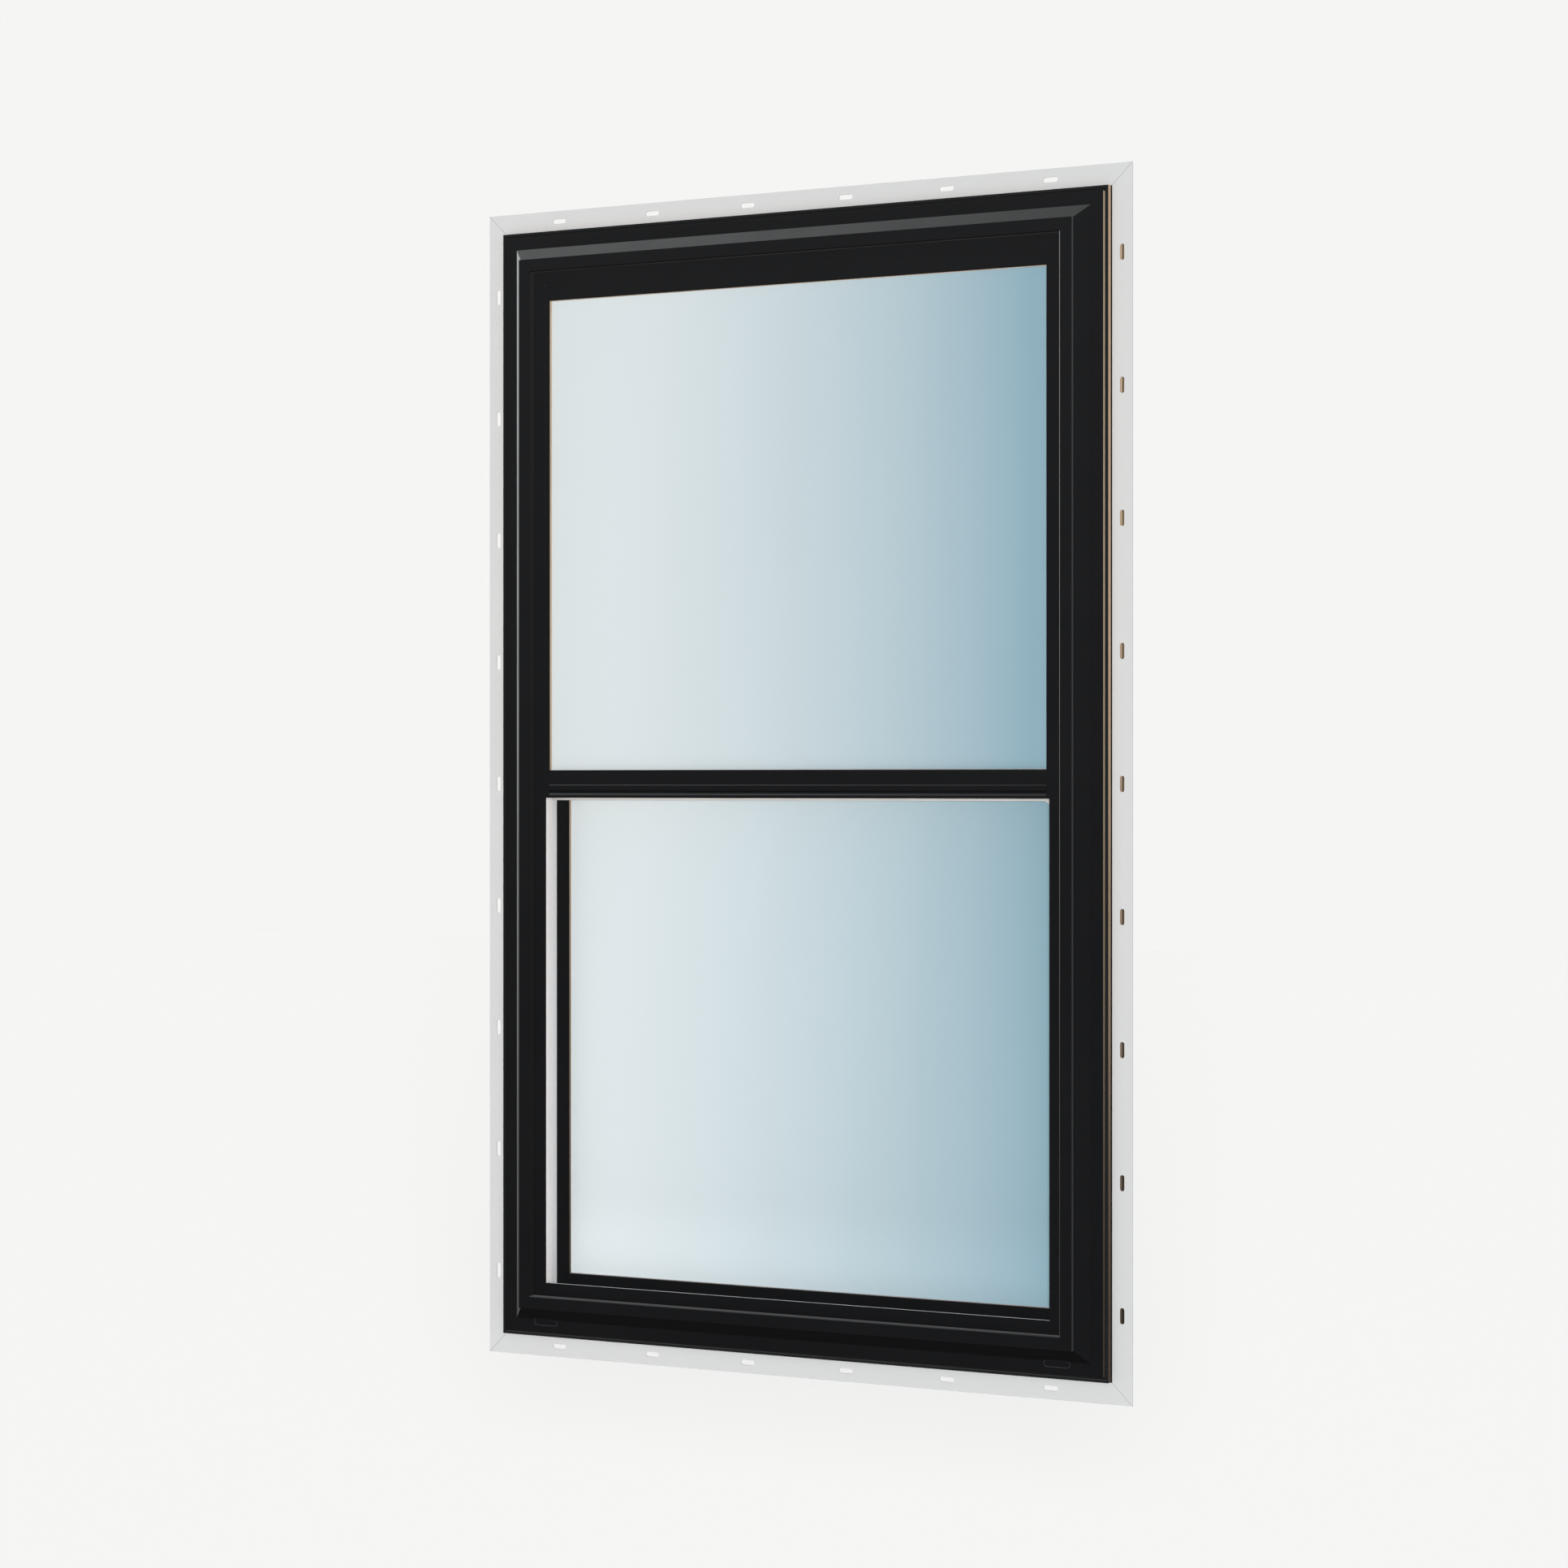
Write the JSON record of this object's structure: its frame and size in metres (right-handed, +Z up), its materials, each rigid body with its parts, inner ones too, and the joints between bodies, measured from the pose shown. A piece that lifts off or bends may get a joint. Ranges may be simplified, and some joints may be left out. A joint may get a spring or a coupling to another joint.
{
  "type": "double hung window",
  "caption": "Double hung window with a black metal-clad wood frame, a slotted nailing fin all round, and two glazed sashes that slide past each other.",
  "frame": {"origin": "mid-width of the window, on the back face of the sill fin, on its nail line", "axes": "+X to the right seen from outside, +Y into the building, +Z up"},
  "size_m": [0.9588, 0.1031, 1.5685],
  "materials": {
    "wood": "bare pine, black on its outdoor edge",
    "interior_wood": "clear pine, satin",
    "black_cladding": "black, low gloss",
    "weep_cover": "black",
    "fin_vinyl": "white vinyl",
    "liner_vinyl": "white vinyl",
    "glass": "clear, with a pale blue coating",
    "spacer": "mill finish",
    "weatherstrip": "white vinyl bulb",
    "hardware": "satin nickel"
  },
  "bodies": {
    "root": {"jamb_left": "wood", "jamb_right": "wood", "head_jamb": "wood", "sill": "wood", "interior_stop_left": "interior_wood", "interior_stop_right": "interior_wood", "head_stop": "interior_wood", "upper_stile_left": "interior_wood", "upper_stile_right": "interior_wood", "upper_top_rail": "interior_wood", "upper_check_rail": "interior_wood", "lower_stile_left": "interior_wood", "lower_stile_right": "interior_wood", "lower_bottom_rail": "interior_wood", "lower_check_rail": "interior_wood", "jamb_cladding_left": "black_cladding", "jamb_cladding_right": "black_cladding", "head_cladding": "black_cladding", "sill_cladding": "black_cladding", "sill_cover": "black_cladding", "upper_stile_cladding_left": "black_cladding", "upper_stile_cladding_right": "black_cladding", "upper_top_rail_cladding": "black_cladding", "upper_check_rail_cladding": "black_cladding", "lower_stile_cladding_left": "black_cladding", "lower_stile_cladding_right": "black_cladding", "lower_bottom_rail_cladding": "black_cladding", "weep_cover_left": "weep_cover", "weep_cover_right": "weep_cover", "nail_fin_left": "fin_vinyl", "nail_fin_right": "fin_vinyl", "nail_fin_head": "fin_vinyl", "nail_fin_sill": "fin_vinyl", "jamb_liner_left": "liner_vinyl", "jamb_liner_right": "liner_vinyl", "head_liner": "liner_vinyl", "upper_outer_pane": "glass", "upper_inner_pane": "glass", "lower_outer_pane": "glass", "lower_inner_pane": "glass", "upper_spacer": "spacer", "lower_spacer": "spacer", "check_rail_weatherstrip": "weatherstrip", "sash_lock": "hardware", "lock_keeper": "hardware", "tilt_latch_left": "hardware", "tilt_latch_right": "hardware"}
  },
  "joints": []
}
